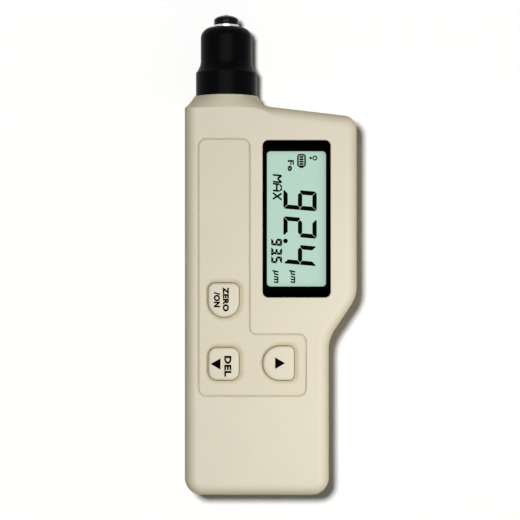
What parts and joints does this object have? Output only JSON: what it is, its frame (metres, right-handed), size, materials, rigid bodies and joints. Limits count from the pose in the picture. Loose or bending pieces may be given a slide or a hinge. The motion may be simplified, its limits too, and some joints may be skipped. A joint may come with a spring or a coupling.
{
  "type": "coating thickness gauge",
  "caption": "Flat handheld instrument with a stepped moulded housing, a display window, soft-edged push keys and a spring-loaded sensing probe in a black sleeve on its end.",
  "frame": {"origin": "under the middle of the overall length and width, on the back face it lies on", "axes": "+Z out of the display face, +Y along the body to the probe, +X to the right of the display"},
  "size_m": [0.059, 0.165, 0.028],
  "materials": {
    "housing": "fine moulded texture",
    "overlay": "satin film",
    "key": "satin",
    "window": "clear",
    "black_frame": "matt film",
    "lcd": "grey green polariser",
    "white_plastic": "satin",
    "contact_rubber": "matt",
    "circuit_board": "solder mask",
    "silicone": "matt",
    "chip": "matt",
    "metal_can": "satin",
    "capacitor": "gloss",
    "socket": "satin",
    "screw": "zinc plated",
    "sleeve": "semi-gloss",
    "plated": "polished",
    "pole": "ground",
    "bobbin": "satin",
    "copper": "enamelled wire",
    "carrier": "satin",
    "spring_steel": "bright",
    "cable": "matt",
    "cell": "shrink film"
  },
  "bodies": {
    "body": {"front_housing": "housing", "rear_housing": "housing", "keypad_overlay": "overlay", "display_window": "window", "window_gasket": "black_frame", "lcd_glass": "lcd", "lcd_holder": "white_plastic", "backlight_panel": "white_plastic", "zebra_strip": "contact_rubber", "main_board": "circuit_board", "dome_mat": "silicone", "microcontroller": "chip", "amplifier_chip": "chip", "crystal": "metal_can", "buzzer": "chip", "probe_socket": "socket", "filter_capacitors": "capacitor", "board_screws": "screw", "housing_screws": "screw", "probe_sleeve": "sleeve", "probe_spring": "spring_steel", "spring_seat": "pole", "probe_cable": "cable", "left_cell": "cell", "middle_cell": "cell", "right_cell": "cell", "contact_springs": "spring_steel", "contact_plates": "spring_steel"},
    "zero_on_key": {"zero_on_key": "key"},
    "delete_key": {"delete_key": "key"},
    "up_key": {"up_key": "key"},
    "probe_plunger": {"probe_tip": "plated", "pole_pin": "pole", "coil_bobbin": "bobbin", "drive_coil": "copper", "sensing_coil": "copper", "probe_carrier": "carrier"},
    "battery_door": {"battery_door": "housing"}
  },
  "joints": [
    {"name": "zero_on_press", "type": "slide", "parent": "body", "child": "zero_on_key", "axis": [0, 0, -1], "range_m": [0, 0.0008], "stiffness_N_per_m": 1500, "deforming": ["dome_mat"]},
    {"name": "delete_press", "type": "slide", "parent": "body", "child": "delete_key", "axis": [0, 0, -1], "range_m": [0, 0.0008], "stiffness_N_per_m": 1500, "deforming": ["dome_mat"]},
    {"name": "up_press", "type": "slide", "parent": "body", "child": "up_key", "axis": [0, 0, -1], "range_m": [0, 0.0008], "stiffness_N_per_m": 1500, "deforming": ["dome_mat"]},
    {"name": "probe_slide", "type": "slide", "parent": "body", "child": "probe_plunger", "axis": [0, -1, 0], "range_m": [0, 0.0025], "stiffness_N_per_m": 500, "deforming": ["probe_spring"]},
    {"name": "battery_door_slide", "type": "slide", "parent": "body", "child": "battery_door", "axis": [0, -1, 0], "range_m": [0, 0.058]}
  ]
}
